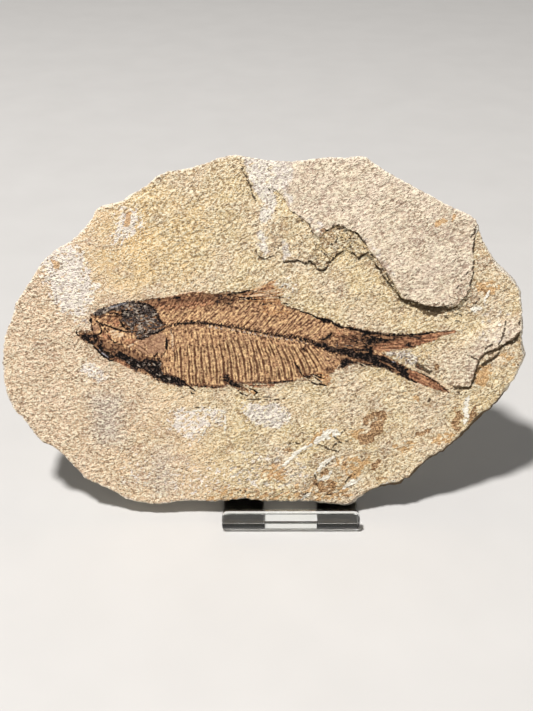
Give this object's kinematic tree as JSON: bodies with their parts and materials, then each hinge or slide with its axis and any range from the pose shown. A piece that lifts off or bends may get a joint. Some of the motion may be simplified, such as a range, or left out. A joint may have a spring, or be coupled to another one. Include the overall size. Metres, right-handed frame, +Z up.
{
  "type": "fossil fish slab",
  "caption": "Split stone slab with a fossil fish skeleton on its face, leaning back in a clear bent stand.",
  "frame": {"origin": "centre of the bounding box's bottom, on the table", "axes": "+X along the slab towards the tail, +Y away from the viewer, +Z up"},
  "size_m": [0.208, 0.0927, 0.1384],
  "materials": {
    "stone": "pitted matte limestone",
    "fossil_bone": "dark brown satin bone film",
    "clear_acrylic": "clear polished"
  },
  "bodies": {
    "root": {"stone_slab": "stone", "fossil_fish": "fossil_bone", "acrylic_stand": "clear_acrylic"}
  },
  "joints": []
}
